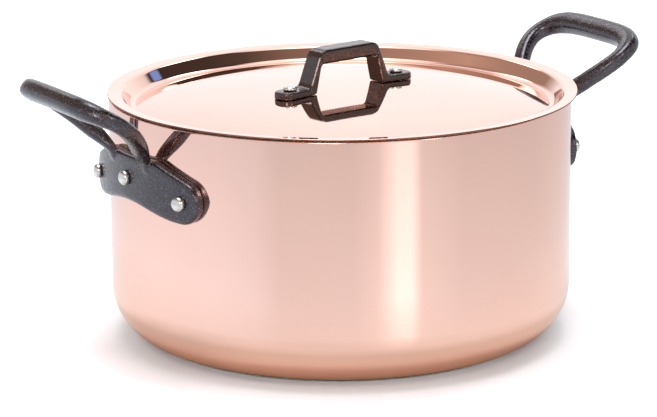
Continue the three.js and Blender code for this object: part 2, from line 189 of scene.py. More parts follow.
# Looks: tones are the two colours that a material varies between, grain is noise per metre, pitch is metres
# between turning lines, bump is a strength and a depth in metres, and roughness is a range. Copper's roughness
# is a least value and what its lines and its haze add to it.
NOISE_RANGE = (0.3, 0.7)
COARSE_DETAIL = 2
MEDIUM_DETAIL = 3
FINE_DETAIL = 4
COPPER_TONES = ((0.955, 0.638, 0.538), (0.945, 0.622, 0.520))
COPPER_CLOUD_GRAIN = 22
COPPER_HAZE_GRAIN = 60
COPPER_PITCH = 0.0012
COPPER_ROUGHNESS = 0.015
COPPER_LINE_ROUGHNESS = 0.02
COPPER_HAZE_ROUGHNESS = 0.03
COPPER_BUMP = (0.03, 0.00002)
# Browns of the lip's cut edge: partly its duller copper, partly painted shade of the gap under the lip
CUT_EDGE_AND_SHADE_TONES = ((0.20, 0.085, 0.055), (0.36, 0.17, 0.12))
CUT_GRAIN = 700
CUT_ROUGHNESS = (0.3, 0.5)
CUT_BUMP = (0.2, 0.0001)
STEEL_TONES = ((0.56, 0.56, 0.565), (0.70, 0.695, 0.69))
STEEL_PITCH = 0.0006
STEEL_LINE_RANGE = (0.2, 0.8)
STEEL_ROUGHNESS = (0.196, 0.364)
STEEL_BUMP = (0.15, 0.00003)
IRON_TONES = ((0.004, 0.003, 0.003), (0.014, 0.010, 0.010))
IRON_FLECK = (0.125, 0.115, 0.13)
IRON_FLECK_RANGE = (0.54, 0.72)
IRON_GRAIN = 1000
IRON_PATCH_GRAIN = 220
IRON_NOISE_ROUGHNESS = 0.6
IRON_ROUGHNESS = (0.08, 0.20)
IRON_SHINE = 0.85
IRON_SWELL = 1.2
IRON_BUMP = (0.45, 0.0003)
# Tints of the iron's shine: on the loops partly the iron's own blue and partly a painted cool reflection, on
# the bridge a painted warm reflection of the copper round it
LOOP_TONE_AND_COOL_SHINE = (1.0, 0.95, 1.1)
LOOP_GRIT = 1.0
BRIDGE_PAINTED_COPPER_SHINE = (1.15, 0.92, 0.85)
BRIDGE_GRIT = 0.25
RIVET_TONES = ((0.60, 0.595, 0.57), (0.80, 0.79, 0.77))
RIVET_DENT_GRAIN = 420
RIVET_FINE_GRAIN = 2600
RIVET_ROUGHNESS = (0.16, 0.30)
RIVET_BUMP = (0.3, 0.00015)

# Floor, metres. The copper mirrors it only round the pot's foot, where it fades into the studio behind.
FLOOR_LEVEL = -0.0004
FLOOR_RADIUS = 12.0
FLOOR_SEGMENTS = 96
FLOOR_WHITE = (0.88, 0.88, 0.88)
MIRRORED_FROM = 0.14
MIRRORED_TO = 0.30
RING_FROM = 0.095
RING_TO = 0.175
RING_GAIN = 4.0
# Rings of colour round the pot, by radius, which are painted light and shade. The seen ones take out the pink
# that the copper throws on the floor and set how dark its shadow looks near the pot. The mirrored ones grow
# darker and browner towards the foot, a painted shade that sets how dark and how brown the pot's bottom edge
# is.
SEEN_PAINTED_SHADE = (
    (0.098, (2.3, 3.1, 3.2)),
    (0.103, (0.98, 1.22, 1.4)),
    (0.110, (1.05, 1.31, 1.44)),
    (0.120, (1.01, 1.13, 1.2)),
    (0.130, (1.1, 1.13, 1.18)),
    (0.150, (1.12, 1.22, 1.29)),
    (0.170, (1.2, 1.28, 1.3)),
)
MIRRORED_PAINTED_SHADE = (
    (0.097, (0.16, 0.16, 0.17)),
    (0.104, (0.66, 0.56, 0.41)),
    (0.118, (0.87, 0.84, 0.78)),
    (0.135, (0.74, 0.76, 0.73)),
    (0.150, (0.8, 0.83, 0.84)),
)

# Studio, with angles in degrees to the camera's right and above the horizon
BRIGHTEST = 2.0
COOL = (0.99, 1.03, 1.11)
NEUTRAL = (1.0, 1.01, 1.05)
WARM = (1.0, 0.75, 0.62)
WINDOW = (0.18, 0.38, 1.0)
WHITE = (1.0, 1.0, 1.0)
GLOW = (0.55, 0.37, 0.30)
OVERHEAD = (0.70, 0.70, 0.68)
# Two rings of panels: angle, level, tint
LOWER_RING = (
    (-180, 0.965, COOL),
    (-105, 1.03, COOL),
    (-62, 0.975, COOL),
    (-42, 0.91, COOL),
    (-30, 0.82, NEUTRAL),
    (6, 0.815, NEUTRAL),
    (18, 0.92, NEUTRAL),
    (28, 1.4, NEUTRAL),
    (35, 1.4, NEUTRAL),
    (40, 0.92, NEUTRAL),
    (62, 0.82, NEUTRAL),
    (112, 0.82, NEUTRAL),
    (145, 0.88, NEUTRAL),
    (180, 0.965, COOL),
)
UPPER_RING = (
    (-180, 1.2, NEUTRAL),
    (-160, 1.0, NEUTRAL),
    (-145, 0.36, WARM),
    (-112, 0.42, WARM),
    (-88, 0.55, WARM),
    (-62, 0.45, WARM),
    (0, 0.32, WARM),
    (43, 0.22, WARM),
    (70, 0.09, WARM),
    (94, 0.06, WARM),
    (134, 0.05, WARM),
    (137, 0.9, NEUTRAL),
    (150, 1.1, NEUTRAL),
    (180, 1.2, NEUTRAL),
)
# Lamps: angle, height, level, tint, and the angles from the middle to full light and to none
LAMPS = (
    (0, 90, 6.5, WHITE, 10, 16),
    (-150, 36, 2.4, WHITE, 4, 9),
    (140, 44, 4.5, WHITE, 4, 9),
    (47, 25, 9.0, WHITE, 3, 6),
    (-7, 21, 8.0, WHITE, 6, 10),
    (128, 22, 0.95, WINDOW, 3, 4.5),
)
# The lower ring brightens towards the floor, between these heights and these levels
LOW_HEIGHTS = (-12.5, -16.5)
LOW_LEVELS = (0.86, 1.16)
# Heights between which the upper ring takes over. It starts lower behind the pot and higher in front of it.
# Ways are told as behind or in front by their cosine with the way to the camera.
UPPER_HEIGHTS = (6, 18)
BEHIND_COSINES = (-0.6, -0.9)
BEHIND_DROP = 12
FRONT_COSINES = (-0.5, 0.43)
FRONT_LIFT = 26
# A brown glow in front, and the light overhead
GLOW_COSINES = (0.5, 0.85)
GLOW_RISE = (8, 14)
GLOW_FALL = (38, 30)
OVERHEAD_HEIGHTS = (60, 68)


# Shapes

def arc(before, corner, after, radius, steps):
    """Points of the arc that rounds a corner of a profile."""
    corner = Vector(corner)
    back = (Vector(before) - corner).normalized()
    ahead = (Vector(after) - corner).normalized()
    half = back.angle(ahead) / 2
    centre = corner + (back + ahead).normalized() * radius / math.sin(half)
    start = corner + back * radius / math.tan(half) - centre
    end = corner + ahead * radius / math.tan(half) - centre
    sweep = math.atan2(start.x * end.y - start.y * end.x, start.dot(end))
    points = []
    for i in range(steps + 1):
        turn = sweep * i / steps
        x = start.x * math.cos(turn) - start.y * math.sin(turn)
        y = start.x * math.sin(turn) + start.y * math.cos(turn)
        points.append((centre.x + x, centre.y + y))
    return points


def supported(runs):
    """Joins runs of points, with extra points near the ends of each straight stretch between two runs.
    Smooth shading then stays true along the stretch."""
    points = list(runs[0])
    for run in runs[1:]:
        start, end = Vector(points[-1]), Vector(run[0])
        length = (end - start).length
        if length > 4 * SUPPORT_MARGIN:
            step = (end - start) * (SUPPORT_MARGIN / length)
            points += [tuple(start + step), tuple(end - step)]
        points += run
    return points


def rounded_profile(corners):
    """A profile from (radius, height, fillet) corners."""
    runs = []
    for i, (out, height, fillet) in enumerate(corners):
        if fillet == 0:
            runs.append([(out, height)])
            continue
        before, after = corners[i - 1][:2], corners[i + 1][:2]
        steps = WIDE_FILLET_STEPS if fillet > WIDE_FILLET else EDGE_STEPS
        runs.append(arc(before, (out, height), after, fillet, steps))
    return supported(runs)


def offset(profile, distance):
    """A profile moved sideways, to its right as it runs. Its first point stays on the axis."""
    moved = [(profile[0][0], profile[0][1] - distance)]
    for i in range(1, len(profile)):
        here = Vector(profile[i])
        before = (here - Vector(profile[i - 1])).normalized()
        after = (Vector(profile[i + 1]) - here).normalized() if i + 1 < len(profile) else before
        mitre = Vector((before.y + after.y, -before.x - after.x)).normalized()
        reach = distance / mitre.dot(Vector((after.y, -after.x)))
        moved.append(tuple(here + mitre * reach))
    return moved


def inset_outline(outline, distance):
    """A closed outline that runs clockwise, moved inward."""
    moved = []
    count = len(outline)
    for i in range(count):
        before, here, after = (Vector(outline[k % count]) for k in (i - 1, i, i + 1))
        first, second = (here - before).normalized(), (after - here).normalized()
        mitre = Vector((first.y + second.y, -first.x - second.x)).normalized()
        reach = distance / max(MITRE_LIMIT, mitre.dot(Vector((second.y, -second.x))))
        moved.append(tuple(here + mitre * reach))
    return moved


def height_at(profile, radius):
    """Height of a profile that runs outward, at a radius."""
    for (r0, z0), (r1, z1) in zip(profile, profile[1:]):
        if r1 > radius:
            return z0 + (z1 - z0) * (radius - r0) / (r1 - r0)
    return profile[-1][1]


def spline(points, count):
    """Evenly spaced points along a centripetal Catmull-Rom spline."""
    knots = [2 * points[0] - points[1], *points, 2 * points[-1] - points[-2]]
    fine = []
    for p0, p1, p2, p3 in zip(knots, knots[1:], knots[2:], knots[3:]):
        d0, d1, d2 = ((b - a).length ** 0.5 for a, b in ((p0, p1), (p1, p2), (p2, p3)))
        slope1 = ((p1 - p0) / d0 - (p2 - p0) / (d0 + d1) + (p2 - p1) / d1) * d1
        slope2 = ((p2 - p1) / d1 - (p3 - p1) / (d1 + d2) + (p3 - p2) / d2) * d1
        cubic = 2 * p1 - 2 * p2 + slope1 + slope2
        square = -3 * p1 + 3 * p2 - 2 * slope1 - slope2
        for i in range(SPLINE_STEPS):
            t = i / SPLINE_STEPS
            fine.append(p1 + slope1 * t + square * t * t + cubic * t * t * t)
    fine.append(points[-1])
    lengths = [0.0]
    for a, b in zip(fine, fine[1:]):
        lengths.append(lengths[-1] + (b - a).length)
    even = []
    k = 0
    for i in range(count + 1):
        goal = lengths[-1] * i / count
        while k < len(fine) - 2 and lengths[k + 1] < goal:
            k += 1
        share = (goal - lengths[k]) / (lengths[k + 1] - lengths[k])
        even.append(fine[k].lerp(fine[k + 1], share))
    return even


def smoothstep(value, low, high):
    share = min(1, max(0, (value - low) / (high - low)))
    return share * share * (3 - 2 * share)


def squared(value):
    """Turns the sine or cosine of a circle into that of a fuller, squarer oval."""
    return math.copysign(abs(value) ** BAR_SQUARENESS, value)


def revolved(profile, segments):
    """A closed body turned about Z from a profile that starts and ends on the axis."""
    body = bmesh.new()
    rings = []
    for out, height in profile:
        count = segments if out > ON_AXIS else 1
        ring = []
        for i in range(count):
            turn = 2 * math.pi * i / count
            place = (out * MM * math.cos(turn), out * MM * math.sin(turn), height * MM)
            ring.append(body.verts.new(place))
        rings.append(ring)
    for low, high in zip(rings, rings[1:]):
        for i in range(segments):
            j = i + 1
            corners = [low[i % len(low)], low[j % len(low)], high[j % len(high)], high[i % len(high)]]
            body.faces.new(dict.fromkeys(corners))
    return body


def lofted(rings):
    """A closed body through rings of points in millimetres, with flat ends."""
    body = bmesh.new()
    rows = [[body.verts.new(Vector(point) * MM) for point in ring] for ring in rings]
    count = len(rows[0])
    for row, following in zip(rows, rows[1:]):
        for i in range(count):
            j = (i + 1) % count
            body.faces.new((row[i], row[j], following[j], following[i]))
    body.faces.new(list(reversed(rows[0])))
    body.faces.new(rows[-1])
    return body


def mesh_of(name, body):
    bmesh.ops.recalc_face_normals(body, faces=body.faces)
    mesh = bpy.data.meshes.new(name)
    body.to_mesh(mesh)
    body.free()
    mesh.shade_smooth()
    return mesh


def cast(name, bodies, voxel, smooth):
    """Several overlapping bodies run together into one casting with soft edges and fillets."""
    joined = bmesh.new()
    for body in bodies:
        mesh = mesh_of(name, body)
        joined.from_mesh(mesh)
        bpy.data.meshes.remove(mesh)
    rough = bpy.data.objects.new(name + "_rough", mesh_of(name + "_rough", joined))
    bpy.context.scene.collection.objects.link(rough)
    remesh = rough.modifiers.new("remesh", "REMESH")
    remesh.mode = "VOXEL"
    remesh.voxel_size = voxel
    softened = rough.modifiers.new("smooth", "SMOOTH")
    softened.factor = SMOOTH_FACTOR
    softened.iterations = smooth
    view = bpy.context.evaluated_depsgraph_get()
    mesh = bpy.data.meshes.new_from_object(rough.evaluated_get(view))
    mesh.name = name
    mesh.shade_smooth()
    bpy.data.objects.remove(rough)
    return mesh


def show(name, mesh, material, body, slot, *nodes, placed=None):
    """Adds a piece of the object, which rides on a body and stands for CAD nodes."""
    piece = bpy.data.objects.new(name, mesh)
    bpy.context.scene.collection.objects.link(piece)
    if not mesh.materials:
        mesh.materials.append(material)
    if placed is not None:
        piece.matrix_world = placed
    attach(piece, body)
    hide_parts(*nodes)


# Materials

class Nodes:
    """A short way to write a node tree."""

    def __init__(self, tree):
        self.tree = tree
        tree.nodes.clear()

    def add(self, kind, inputs=None, **settings):
        node = self.tree.nodes.new(kind)
        for name, value in settings.items():
            setattr(node, name, value)
        for name, value in (inputs or {}).items():
            if isinstance(value, bpy.types.NodeSocket):
                self.tree.links.new(value, node.inputs[name])
            else:
                node.inputs[name].default_value = value
        return node

    def math(self, operation, *values):
        node = self.add("ShaderNodeMath", dict(enumerate(values)), operation=operation)
        return node.outputs[0]

    def vector(self, operation, *values, scale=None):
        inputs = dict(enumerate(values))
        if scale is not None:
            inputs["Scale"] = scale
        node = self.add("ShaderNodeVectorMath", inputs, operation=operation)
        return node.outputs["Value" if operation in ("DOT_PRODUCT", "LENGTH") else "Vector"]

    def spread(self, value, low, high, to_low=0, to_high=1):
        inputs = {"Value": value, "From Min": low, "From Max": high, "To Min": to_low, "To Max": to_high}
        return self.add("ShaderNodeMapRange", inputs).outputs["Result"]

    def ramp(self, value, stops):
        node = self.add("ShaderNodeValToRGB", {"Fac": value})
        elements = node.color_ramp.elements
        while len(elements) > 1:
            elements.remove(elements[-1])
        for i, (place, colour) in enumerate(stops):
            stop = elements[0] if i == 0 else elements.new(place)
            stop.position = place
            stop.color = (*colour, 1)
        return node.outputs["Color"]

    def mix(self, share, first, second):
        """A mix of colours, whose sockets a mix node keeps at 6 and 7, and its result at 2."""
        node = self.add("ShaderNodeMix", data_type="RGBA")
        for socket, value in ((0, share), (6, first), (7, second)):
            if isinstance(value, bpy.types.NodeSocket):
                self.tree.links.new(value, node.inputs[socket])
            else:
                node.inputs[socket].default_value = (*value, 1)
        return node.outputs[2]

    def noise(self, vector, scale, detail, roughness=0.5):
        inputs = {"Vector": vector, "Scale": scale, "Detail": detail, "Roughness": roughness}
        return self.add("ShaderNodeTexNoise", inputs).outputs["Fac"]

    def place(self):
        return self.add("ShaderNodeTexCoord").outputs["Object"]

    def surface(self, colour, roughness, height, bump, metallic):
        """The shader and the output of a material."""
        strength, depth = bump
        bumps = self.add("ShaderNodeBump", {"Strength": strength, "Distance": depth, "Height": height})
        inputs = {"Base Color": colour, "Roughness": roughness, "Normal": bumps.outputs[0]}
        shader = self.add("ShaderNodeBsdfPrincipled", inputs | {"Metallic": metallic})
        self.add("ShaderNodeOutputMaterial", {"Surface": shader.outputs[0]})
        return shader


def new_material(name):
    material = bpy.data.materials.new(name)
    material.use_nodes = True
    return material, Nodes(material.node_tree)


def turning_lines(nodes, pitch, detail):
    """Noise that runs in rings round Z, like marks left by turning and polishing."""
    place = nodes.place()
    flat = nodes.vector("MULTIPLY", place, (1, 1, 0))
    round_about = nodes.vector("NORMALIZE", flat)
    height = nodes.add("ShaderNodeSeparateXYZ", {0: place}).outputs["Z"]
    along = nodes.math("ADD", nodes.vector("LENGTH", flat), height)
    rings = nodes.add("ShaderNodeCombineXYZ", {"Z": nodes.math("MULTIPLY", along, 1 / pitch)}).outputs[0]
    return nodes.noise(nodes.vector("ADD", rings, round_about), 1.0, detail)


def copper_material():
    material, nodes = new_material("polished_copper")
    place = nodes.place()
    clouds = nodes.spread(nodes.noise(place, COPPER_CLOUD_GRAIN, COARSE_DETAIL), *NOISE_RANGE)
    haze = nodes.noise(place, COPPER_HAZE_GRAIN, FINE_DETAIL)
    lines = turning_lines(nodes, COPPER_PITCH, COARSE_DETAIL)
    line_roughness = nodes.math("MULTIPLY", lines, COPPER_LINE_ROUGHNESS)
    haze_roughness = nodes.math("MULTIPLY", haze, COPPER_HAZE_ROUGHNESS)
    roughness = nodes.math("ADD", nodes.math("ADD", line_roughness, haze_roughness), COPPER_ROUGHNESS)
    nodes.surface(nodes.mix(clouds, *COPPER_TONES), roughness, lines, COPPER_BUMP, metallic=1)
    return material


def cut_copper_material():
    """The lip's cut edge, browner and duller than its polished face, and painted darker still as the shade in
    the gap under the lip.
    """
    material, nodes = new_material("cut_copper_and_painted_shade")
    scratches = nodes.noise(nodes.place(), CUT_GRAIN, MEDIUM_DETAIL)
    roughness = nodes.spread(scratches, *NOISE_RANGE, *CUT_ROUGHNESS)
    nodes.surface(nodes.mix(scratches, *CUT_EDGE_AND_SHADE_TONES), roughness, scratches, CUT_BUMP, metallic=1)
    return material


def lining_material():
    material, nodes = new_material("brushed_lining")
    lines = turning_lines(nodes, STEEL_PITCH, MEDIUM_DETAIL)
    roughness = nodes.spread(lines, *STEEL_LINE_RANGE, *STEEL_ROUGHNESS)
    nodes.surface(nodes.mix(lines, *STEEL_TONES), roughness, lines, STEEL_BUMP, metallic=1)
    return material


def iron_material(name, tint, grit):
    """Dark polished iron with fine flecks, from the tint of its shine and the strength of its grain. The tint
    is painted reflection: it colours the shine the way the light that the iron mirrors would.
    """
    material, nodes = new_material(name)
    place = nodes.place()
    grain = nodes.noise(place, IRON_GRAIN, MEDIUM_DETAIL, IRON_NOISE_ROUGHNESS)
    patch = nodes.noise(place, IRON_PATCH_GRAIN, MEDIUM_DETAIL, IRON_NOISE_ROUGHNESS)
    fleck = nodes.math("MULTIPLY", nodes.spread(grain, *IRON_FLECK_RANGE), grit)
    speckled = nodes.mix(fleck, nodes.mix(patch, *IRON_TONES), IRON_FLECK)
    roughness = nodes.spread(patch, *NOISE_RANGE, *IRON_ROUGHNESS)
    swell = nodes.math("ADD", nodes.math("MULTIPLY", patch, IRON_SWELL), nodes.math("MULTIPLY", grain, grit))
    shader = nodes.surface(speckled, roughness, swell, IRON_BUMP, metallic=0)
    shader.inputs["Specular IOR Level"].default_value = IRON_SHINE
    # Painted reflection: the shine takes the tint
    shader.inputs["Specular Tint"].default_value = (*tint, 1)
    return material


def rivet_material():
    material, nodes = new_material("rivet_steel")
    place = nodes.place()
    dents = nodes.noise(place, RIVET_DENT_GRAIN, COARSE_DETAIL)
    fine = nodes.noise(place, RIVET_FINE_GRAIN, COARSE_DETAIL)
    roughness = nodes.spread(fine, *NOISE_RANGE, *RIVET_ROUGHNESS)
    nodes.surface(nodes.mix(dents, *RIVET_TONES), roughness, dents, RIVET_BUMP, metallic=1)
    return material


copper = copper_material()
steel = lining_material()
iron = iron_material("speckled_cast_iron", LOOP_TONE_AND_COOL_SHINE, LOOP_GRIT)
# The bridge's copy of the iron has a painted warm shine for the copper that it mirrors
smooth_iron = iron_material("smooth_cast_iron", BRIDGE_PAINTED_COPPER_SHINE, BRIDGE_GRIT)
rivet_steel = rivet_material()


# The pot

def sheet_profile(depth, thickness, edge):
    """The pot's sheet, from the middle of its underside round the rim and back to the middle of its floor."""
    outer, inner = POT_RADIUS - depth, POT_RADIUS - depth - thickness
    return rounded_profile((
        (0, depth, 0),
        (outer, depth, CORNER_RADIUS - depth),
        (outer, POT_HEIGHT, edge),
        (inner, POT_HEIGHT, edge),
        (inner, depth + thickness, CORNER_RADIUS - depth - thickness),
        (0, depth + thickness, 0),
    ))


pot_sheet = revolved(sheet_profile(0, COPPER_WALL, RIM_EDGE), SEGMENTS)
show("pot_copper", mesh_of("pot_copper", pot_sheet), copper, "pot", "copper", "copper_body")
lining_sheet = revolved(sheet_profile(COPPER_WALL + BOND_LINE, STEEL_WALL, LINING_EDGE), SEGMENTS)
show("pot_lining", mesh_of("pot_lining", lining_sheet), steel, "pot", "lining", "steel_lining")

# The lid

lip_edge = POT_RADIUS + LIP_OVERHANG
seat_top = POT_HEIGHT + LID_SEAT_GAP + LID_SHEET * math.sqrt(1 + LIP_SLOPE ** 2)
lip_root = (POT_INSIDE - LIP_ROOT_INSET, seat_top - LIP_ROOT_INSET * LIP_SLOPE)
channel_foot = (lip_root[0] - CHANNEL_RUN, lip_root[1] - CHANNEL_DEPTH)
crown_top = channel_foot[1] + CROWN_RISE
lip_end = (lip_edge, lip_root[1] + (lip_edge - lip_root[0]) * LIP_SLOPE)


def crown_point(t):
    """A point of the curve from the crown's middle, where it is level, to the foot of the channel."""
    start, bend, end = (1 - t) ** 2, 2 * t * (1 - t), t * t
    return bend * CROWN_FLAT + end * channel_foot[0], (start + bend) * crown_top + end * channel_foot[1]


crown = [crown_point(i / CROWN_STEPS) for i in range(CROWN_STEPS + 1)]
channel = arc(crown[-2], channel_foot, lip_root, CHANNEL_FILLET, CHANNEL_STEPS)
shoulder = arc(channel_foot, lip_root, lip_end, SHOULDER_FILLET, SHOULDER_STEPS)
crown_part = [point for point in crown if point[0] < channel[0][0] - CROWN_CLEARANCE]


def lid_line(short):
    """The lid's top face from its middle to the lip, which may stop short of the lip's edge."""
    end = (lip_end[0] - short, lip_end[1] - short * LIP_SLOPE)
    return supported([crown_part, channel, shoulder, [end]])


def lid_sheet(upper, lower, edge, short):
    """A sheet of the lid between two depths, which may stop short of the lip's edge."""
    top, under = offset(lid_line(short), upper), offset(lid_line(short), lower)
    lip = arc(top[-2], top[-1], under[-1], edge, LIP_STEPS)
    lip += arc(top[-1], under[-1], under[-2], edge, LIP_STEPS)
    return revolved(top[:-1] + lip + under[-2::-1], SEGMENTS)


lid_middle = Matrix.Translation((LID_SHIFT * MM, 0, 0))
lid_set = lid_middle @ Matrix.Rotation(LID_TURN, 4, "Z")
copper_sheet = mesh_of("lid_sheet", lid_sheet(0, LID_COPPER, LIP_ROUNDING, 0))
copper_sheet.materials.append(copper)
copper_sheet.materials.append(cut_copper_material())
# The lip's faces that look down or out take the cut copper, painted dark as the shade under the lip
for face in copper_sheet.polygons:
    outer = face.center.xy.length > (lip_edge - LIP_ROUNDING) * MM
    face.material_index = int(outer and face.normal.z < CUT_AND_SHADE_FACING)
show("lid_sheet", copper_sheet, copper, "lid", "copper", "lid_copper", placed=lid_middle)
lid_under = lid_sheet(LID_COPPER + BOND_LINE, LID_SHEET, LINING_EDGE, LINING_SET_BACK)
show("lid_under", mesh_of("lid_under", lid_under), steel, "lid", "lining", "lid_lining", placed=lid_middle)


# Loop handles

def loop_bar():
    """The bar of a loop handle that reaches out along +X, with a full oval section."""
    tail = Vector((
        FLANGE_BACK + FLANGE_THICKNESS / 2,
        LEG_HALF_SPACING - TAIL_LEAN,
        POT_HEIGHT - LEG_ROOT_DROP - LEG_TAIL,
    ))
    half = [tail]
    for out, wide, up in LOOP_STATIONS:
        half.append(Vector((
            POT_RADIUS + LEG_ROOT_OUT + (LOOP_REACH - LEG_ROOT_OUT) * out,
            LEG_HALF_SPACING + (LOOP_HALF_WIDTH - LEG_HALF_SPACING) * wide,
            POT_HEIGHT - LEG_ROOT_DROP + (LOOP_RISE + LEG_ROOT_DROP) * up,
        )))
    grip = Vector((POT_RADIUS + LOOP_REACH, 0, POT_HEIGHT + LOOP_RISE))
    other = [Vector((p.x, -p.y, p.z)) for p in reversed(half)]
    line = spline([*half, grip, *other], LOOP_STEPS)
    tilt = math.atan2(LOOP_RISE + LEG_ROOT_DROP, LOOP_REACH - LEG_ROOT_OUT)
    plane = Vector((-math.sin(tilt), 0, math.cos(tilt)))
    rings = []
    for i, middle in enumerate(line):
        along = (line[min(i + 1, LOOP_STEPS)] - line[max(i - 1, 0)]).normalized()
        normal = (plane - along * plane.dot(along)).normalized()
        across = along.cross(normal)
        from_end = min(i, LOOP_STEPS - i) / LOOP_STEPS
        into_grip = smoothstep(from_end, *GRIP_BLEND)
        out_of_tail = smoothstep(from_end, *TAIL_BLEND)
        wide = (LEG_WIDTH + (GRIP_WIDTH - LEG_WIDTH) * into_grip) / 2
        bar = LEG_THICKNESS + (GRIP_THICKNESS - LEG_THICKNESS) * into_grip
        thick = (TAIL_THICKNESS + (bar - TAIL_THICKNESS) * out_of_tail) / 2
        ring = []
        for k in range(BAR_SIDES):
            turn = 2 * math.pi * k / BAR_SIDES
            sideways = across * wide * squared(math.cos(turn))
            ring.append(middle + sideways + normal * thick * squared(math.sin(turn)))
        rings.append(ring)
    return lofted(rings)


def flange_plate():
    """The curved plate that hugs the pot's wall behind a loop handle on +X."""
    rivet = POT_HEIGHT - OUTER_RIVET_DROP
    top = POT_HEIGHT - FLANGE_TOP_DROP
    tangent = OUTER_RIVET_ARC + FLANGE_END_RADIUS * math.sin(FLANGE_SHOULDER_SLOPE)
    arcs = [OUTER_RIVET_ARC * i / FLANGE_STEPS for i in range(FLANGE_STEPS)]
    arcs += [OUTER_RIVET_ARC + FLANGE_END_RADIUS * math.sin(math.radians(a)) for a in FLANGE_END_DEGREES]
    rings = []
    for place in [-a for a in reversed(arcs[1:])] + arcs:
        run = abs(place)
        past = max(0, run - OUTER_RIVET_ARC)
        arch = FLANGE_ARCH * math.cos(math.pi / 2 * min(1, run / OUTER_RIVET_ARC)) ** 2
        low = rivet + arch - math.sqrt(FLANGE_END_RADIUS ** 2 - past ** 2)
        past = max(tangent, run) - OUTER_RIVET_ARC
        rise = max(0, tangent - run) * math.tan(FLANGE_SHOULDER_SLOPE)
        high = min(top, rivet + math.sqrt(FLANGE_END_RADIUS ** 2 - past ** 2) + rise)
        edge = min(FLANGE_EDGE, (high - low) / 4)
        section = [(FLANGE_BACK, low)]
        section += arc((FLANGE_BACK, low), (FLANGE_FACE, low), (FLANGE_FACE, high), edge, EDGE_STEPS)
        section += arc((FLANGE_FACE, low), (FLANGE_FACE, high), (FLANGE_BACK, high), edge, EDGE_STEPS)
        section += [(FLANGE_BACK, high)]
        turn = place / FLANGE_FACE
        rings.append([(out * math.cos(turn), out * math.sin(turn), z) for out, z in section])
    return lofted(rings)


def head_profile(diameter, base, rim, dome):
    """A rivet's head from its seat at a base to its tip on the axis. A negative rim and dome point down."""
    radius = diameter / 2
    bevel = math.copysign(RIVET_EDGE, rim)
    points = [(radius - RIVET_EDGE, base), (radius, base + bevel), (radius, base + rim)]
    for i in range(1, DOME_STEPS):
        turn = math.pi / 2 * i / DOME_STEPS
        points.append((radius * math.cos(turn) ** DOME_FULLNESS, base + rim + dome * math.sin(turn)))
    return points + [(0, base + rim + dome)]


def rivet_profile(rivet, low, high):
    """A rivet along Z whose shank runs from low to high, with its outer head above."""
    top = head_profile(rivet.head, high, rivet.rim, rivet.dome)
    under = head_profile(rivet.inner_head, low, -rivet.inner_rim, -rivet.inner_dome)
    return list(reversed(under)) + [(rivet.shank / 2, low), (rivet.shank / 2, high)] + top


loop_mesh = cast("loop_handle", [loop_bar(), flange_plate()], LOOP_VOXEL, LOOP_SMOOTH)
head_sag = HANDLE_RIVET.inner_head / 2 * math.tan(math.pi / WALL_FACETS)
rivet_low, rivet_high = POT_INSIDE - head_sag - HEAD_GAP, FLANGE_FACE + HEAD_GAP
rivet_body = revolved(rivet_profile(HANDLE_RIVET, rivet_low, rivet_high), RIVET_SEGMENTS)
rivet_mesh = mesh_of("handle_rivet", rivet_body)
outer_turn = OUTER_RIVET_ARC / FLANGE_FACE
for side, half_turn, front in (("right", 0, -1), ("left", math.pi, 1)):
    turned = Matrix.Rotation(half_turn, 4, "Z")
    show(f"{side}_loop", loop_mesh, iron, "pot", "iron", f"{side}_handle", placed=turned)
    for place, turn, drop in (
        ("front", front * outer_turn, OUTER_RIVET_DROP),
        ("middle", 0, MIDDLE_RIVET_DROP),
        ("back", -front * outer_turn, OUTER_RIVET_DROP),
    ):
        lifted = Matrix.Translation((0, 0, (POT_HEIGHT - drop) * MM))
        laid = Matrix.Rotation(half_turn + turn, 4, "Z") @ lifted @ Matrix.Rotation(math.pi / 2, 4, "Y")
        name = f"{side}_rivet_{place}"
        show(name + "_head", rivet_mesh, rivet_steel, "pot", "rivet", name, placed=laid)


# Bridge handle on the lid

def bridge_bar(foot_top, top):
    """The bar and the legs of the bridge handle, along X: an outline drawn across Y, with bevelled edges."""
    lean = (BRIDGE_BASE_HALF - BRIDGE_TOP_HALF) / (top - foot_top)
    ceiling = top - BRIDGE_BAR
    outer_top, outer_base = (BRIDGE_TOP_HALF, top), (BRIDGE_BASE_HALF, foot_top)
    flare = arc(outer_top, outer_base, (FOOT_RIVET_SPACING / 2, foot_top), LEG_FLARE, LEG_FLARE_STEPS)
    inner = BRIDGE_BASE_HALF + FOOT_THICKNESS * lean - LEG_BASE
    inner_base = (inner, height_at(crown, inner) + SEAT_GAP)
    inner_top = (BRIDGE_TOP_HALF + BRIDGE_BAR * lean - LEG_TOP, ceiling)
    right = arc((0, top), outer_top, outer_base, BRIDGE_OUTER_FILLET, BRIDGE_OUTER_STEPS)
    right += flare
    right += [(flare[-1][0], height_at(crown, flare[-1][0]) + SEAT_GAP), inner_base]
    right += arc(inner_base, inner_top, (0, ceiling), BRIDGE_INNER_FILLET, BRIDGE_INNER_STEPS)
    outline = right + [(-x, z) for x, z in reversed(right)]
    narrow = inset_outline(outline, BRIDGE_BEVEL)
    half, flat = BRIDGE_WIDTH / 2, BRIDGE_WIDTH / 2 - BRIDGE_BEVEL
    rings = ((-half, narrow), (-flat, outline), (flat, outline), (half, narrow))
    return lofted([[(x, y, z) for x, z in shape] for y, shape in rings])


